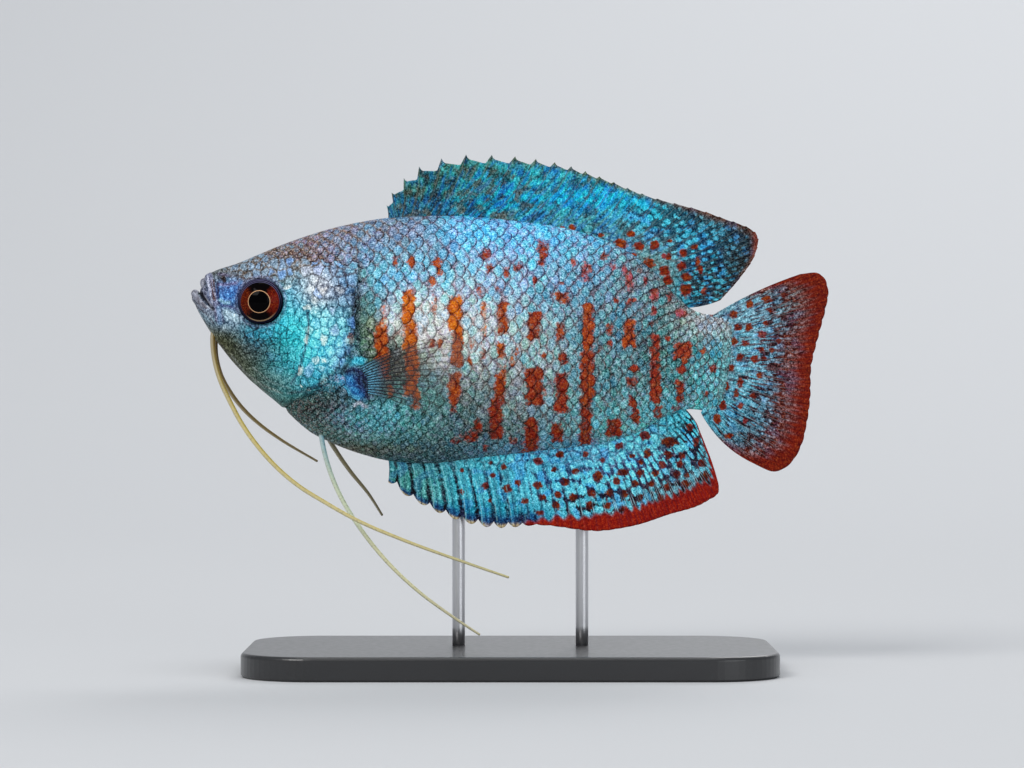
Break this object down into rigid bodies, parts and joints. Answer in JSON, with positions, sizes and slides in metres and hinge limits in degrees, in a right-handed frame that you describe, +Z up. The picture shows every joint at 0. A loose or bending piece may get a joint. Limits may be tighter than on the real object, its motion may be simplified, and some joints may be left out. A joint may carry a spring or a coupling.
{
  "type": "dwarf gourami",
  "caption": "Still life-size model of a male dwarf gourami, swimming slightly head up with its fins spread, held over a flat base by short rods.",
  "frame": {"origin": "middle of the underside of the display stand, under the middle of the fish's length", "axes": "+Z up, -X towards the head, +X towards the tail, -Y towards the fish's own left side"},
  "size_m": [0.08, 0.038, 0.0646],
  "materials": {
    "skin": "satin, metallic scales",
    "gill_cover": "satin, metallic scales",
    "eye": "gloss",
    "dorsal_fin": "satin membrane",
    "anal_fin": "satin membrane",
    "caudal_fin": "satin membrane",
    "pectoral_fin": "clear membrane",
    "feeler": "satin",
    "stand_base": "satin black",
    "stand_rod": "brushed"
  },
  "bodies": {
    "root": {"head": "skin", "torso": "skin", "tail_stalk": "skin", "gill_cover_left": "gill_cover", "gill_cover_right": "gill_cover", "eye_left": "eye", "eye_right": "eye", "dorsal_fin": "dorsal_fin", "anal_fin": "anal_fin", "caudal_fin": "caudal_fin", "pectoral_fin_left": "pectoral_fin", "pectoral_fin_right": "pectoral_fin", "chin_feeler_left": "feeler", "chin_feeler_right": "feeler", "belly_feeler_left": "feeler", "belly_feeler_right": "feeler", "stand_base": "stand_base", "stand_rod_front": "stand_rod", "stand_rod_rear": "stand_rod"}
  },
  "joints": []
}
